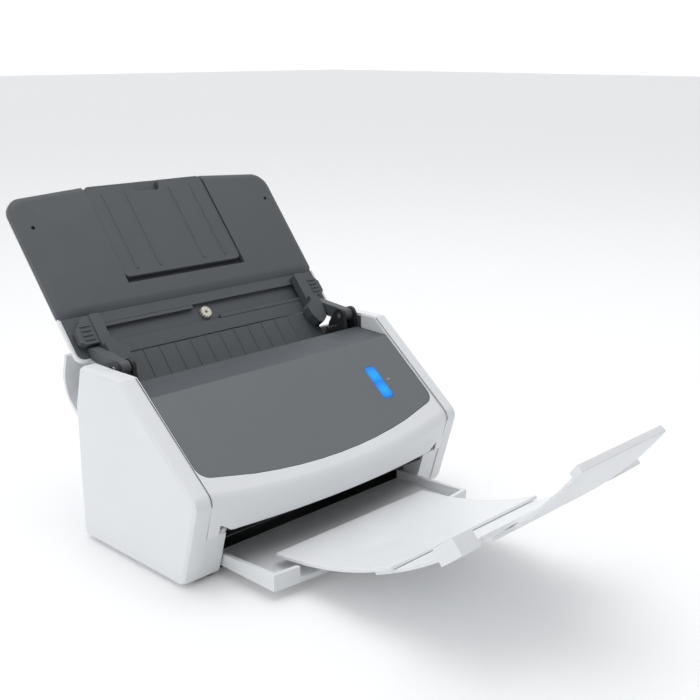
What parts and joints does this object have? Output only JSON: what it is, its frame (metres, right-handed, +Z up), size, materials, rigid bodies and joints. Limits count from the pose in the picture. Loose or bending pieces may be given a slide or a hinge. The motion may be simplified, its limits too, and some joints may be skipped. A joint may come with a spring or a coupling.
{
  "type": "sheet fed document scanner",
  "caption": "Desktop sheet fed document scanner with a fold-back paper chute, hinged top section, sloping control panel with scan button, and telescoping curved output stacker.",
  "frame": {"origin": "on the table, on the centre line, at the middle foot, midway between the front and rear feet", "axes": "+X to the right seen from the front, the front faces -Y, +Z up"},
  "size_m": [0.292, 0.5115, 0.2683],
  "materials": {
    "white_shell": "fine satin grain",
    "grey_panel": "fine matt grain",
    "dark_liner": "fine matt grain",
    "black_plastic": "matt",
    "sheet_metal": "zinc plated",
    "shaft_steel": "ground",
    "roller_rubber": "fine ribbed",
    "foot_rubber": "matt",
    "natural_nylon": "satin",
    "scan_glass": "polished",
    "circuit_board": "solder resist",
    "button_blue": "lit translucent"
  },
  "bodies": {
    "base": {"base_plate": "black_plastic", "left_side_cover": "white_shell", "right_side_cover": "white_shell", "rear_cover": "white_shell", "rear_hood": "white_shell", "left_corner_block": "white_shell", "right_corner_block": "white_shell", "side_frames": "sheet_metal", "cross_beams": "sheet_metal", "lower_sheet_guide": "black_plastic", "entry_guide": "dark_liner", "lower_scan_unit": "black_plastic", "lower_scan_glass": "scan_glass", "main_board": "circuit_board", "power_jack": "black_plastic", "usb_socket": "sheet_metal", "drive_motor": "black_plastic", "drive_belt": "foot_rubber", "cover_brackets": "black_plastic", "shaft_bushes": "natural_nylon", "rubber_feet": "foot_rubber", "case_screws": "shaft_steel"},
    "motor_rotor": {"motor_pulley": "natural_nylon"},
    "pick_roller": {"pick_shaft": "shaft_steel", "pick_rollers": "roller_rubber"},
    "feed_roller": {"feed_shaft": "shaft_steel", "lower_feed_rollers": "roller_rubber"},
    "exit_roller": {"exit_shaft": "shaft_steel", "lower_exit_rollers": "roller_rubber"},
    "top_section": {"front_cover": "white_shell", "control_panel": "grey_panel", "top_frame": "black_plastic", "upper_scan_unit": "black_plastic", "upper_scan_glass": "scan_glass", "panel_board": "circuit_board", "top_hinge_pins": "shaft_steel", "brake_shaft": "shaft_steel"},
    "brake_roller": {"brake_roller": "roller_rubber"},
    "upper_feed": {"upper_feed_rollers": "roller_rubber"},
    "upper_exit": {"upper_exit_rollers": "roller_rubber"},
    "release_tab": {"release_tab": "black_plastic"},
    "scan_button": {"scan_button": "button_blue"},
    "chute_cover": {"cover_shell": "white_shell", "cover_liner": "dark_liner", "cover_arms": "dark_liner", "cover_pins": "shaft_steel"},
    "left_guide": {"left_guide": "dark_liner"},
    "right_guide": {"right_guide": "dark_liner"},
    "guide_pinion": {"guide_pinion": "natural_nylon"},
    "chute_extension": {"chute_extension": "dark_liner"},
    "stacker_1": {"stacker_tray_1": "white_shell"},
    "stacker_2": {"stacker_tray_2": "white_shell"},
    "stacker_3": {"stacker_tray_3": "white_shell"},
    "stacker_4": {"stacker_tray_4": "white_shell"}
  },
  "joints": [
    {"name": "motor_spin", "type": "hinge", "parent": "base", "child": "motor_rotor", "pos_m": [0, 0.039, 0.045], "axis": [1, 0, 0], "continuous": true},
    {"name": "pick_spin", "type": "hinge", "parent": "base", "child": "pick_roller", "pos_m": [0, 0.0455, 0.1087], "axis": [1, 0, 0], "continuous": true},
    {"name": "feed_spin", "type": "hinge", "parent": "base", "child": "feed_roller", "pos_m": [0, 0.0216, 0.0831], "axis": [1, 0, 0], "continuous": true},
    {"name": "exit_spin", "type": "hinge", "parent": "base", "child": "exit_roller", "pos_m": [0, -0.0455, 0.0405], "axis": [1, 0, 0], "continuous": true},
    {"name": "top_open", "type": "hinge", "parent": "base", "child": "top_section", "pos_m": [0, -0.0755, 0.043], "axis": [1, 0, 0], "range_deg": [0, 40]},
    {"name": "brake_spin", "type": "hinge", "parent": "top_section", "child": "brake_roller", "pos_m": [0, 0.0283, 0.1208], "axis": [1, 0, 0], "continuous": true},
    {"name": "upper_feed_spin", "type": "hinge", "parent": "top_section", "child": "upper_feed", "pos_m": [0, 0.0077, 0.0943], "axis": [1, 0, 0], "continuous": true},
    {"name": "upper_exit_spin", "type": "hinge", "parent": "top_section", "child": "upper_exit", "pos_m": [0, -0.0524, 0.0544], "axis": [1, 0, 0], "continuous": true},
    {"name": "release_pull", "type": "hinge", "parent": "top_section", "child": "release_tab", "pos_m": [0, 0.03, 0.126], "axis": [1, 0, 0], "range_deg": [0, 12], "stiffness_Nm_per_rad": 0.05},
    {"name": "scan_press", "type": "slide", "parent": "top_section", "child": "scan_button", "axis": [0, 0.6414, -0.7672], "range_m": [0, 0.0012], "stiffness_N_per_m": 600},
    {"name": "cover_close", "type": "hinge", "parent": "base", "child": "chute_cover", "pos_m": [0, 0.032, 0.146], "axis": [-1, 0, 0], "range_deg": [-169.5, 0]},
    {"name": "guide_slide", "type": "slide", "parent": "chute_cover", "child": "left_guide", "axis": [1, 0, 0], "range_m": [0, 0.07]},
    {"name": "right_guide_slide", "type": "slide", "parent": "chute_cover", "child": "right_guide", "axis": [1, 0, 0], "range_m": [-0.07, 0]},
    {"name": "guide_pinion_turn", "type": "hinge", "parent": "chute_cover", "child": "guide_pinion", "pos_m": [0, 0.08325, 0.16059], "axis": [0, -0.7705, 0.6374], "range_deg": [-740, 10]},
    {"name": "extension_pull", "type": "slide", "parent": "chute_cover", "child": "chute_extension", "axis": [0, 0.6374, 0.7705], "range_m": [0, 0.085]},
    {"name": "tray_1_slide", "type": "slide", "parent": "base", "child": "stacker_1", "axis": [0, -1, 0], "range_m": [-0.04, 0]},
    {"name": "tray_2_slide", "type": "hinge", "parent": "stacker_1", "child": "stacker_2", "pos_m": [0, -0.083, 0.32], "axis": [-1, 0, 0], "range_deg": [-17.5, 0]},
    {"name": "tray_3_slide", "type": "hinge", "parent": "stacker_2", "child": "stacker_3", "pos_m": [0, -0.083, 0.32], "axis": [-1, 0, 0], "range_deg": [-17.8, 0]},
    {"name": "tray_4_slide", "type": "hinge", "parent": "stacker_3", "child": "stacker_4", "pos_m": [0, -0.083, 0.32], "axis": [-1, 0, 0], "range_deg": [-10.9, 0]}
  ],
  "couplings": [
    {"joint": "pick_spin", "follows": "motor_spin", "ratio": 0.75},
    {"joint": "feed_spin", "follows": "motor_spin", "ratio": 0.48387},
    {"joint": "exit_spin", "follows": "motor_spin", "ratio": 0.75},
    {"joint": "upper_feed_spin", "follows": "motor_spin", "ratio": -0.50929},
    {"joint": "upper_exit_spin", "follows": "motor_spin", "ratio": -0.83121},
    {"joint": "right_guide_slide", "follows": "guide_slide", "ratio": -1},
    {"joint": "guide_pinion_turn", "follows": "guide_slide", "rad_per_m": -178.57}
  ]
}
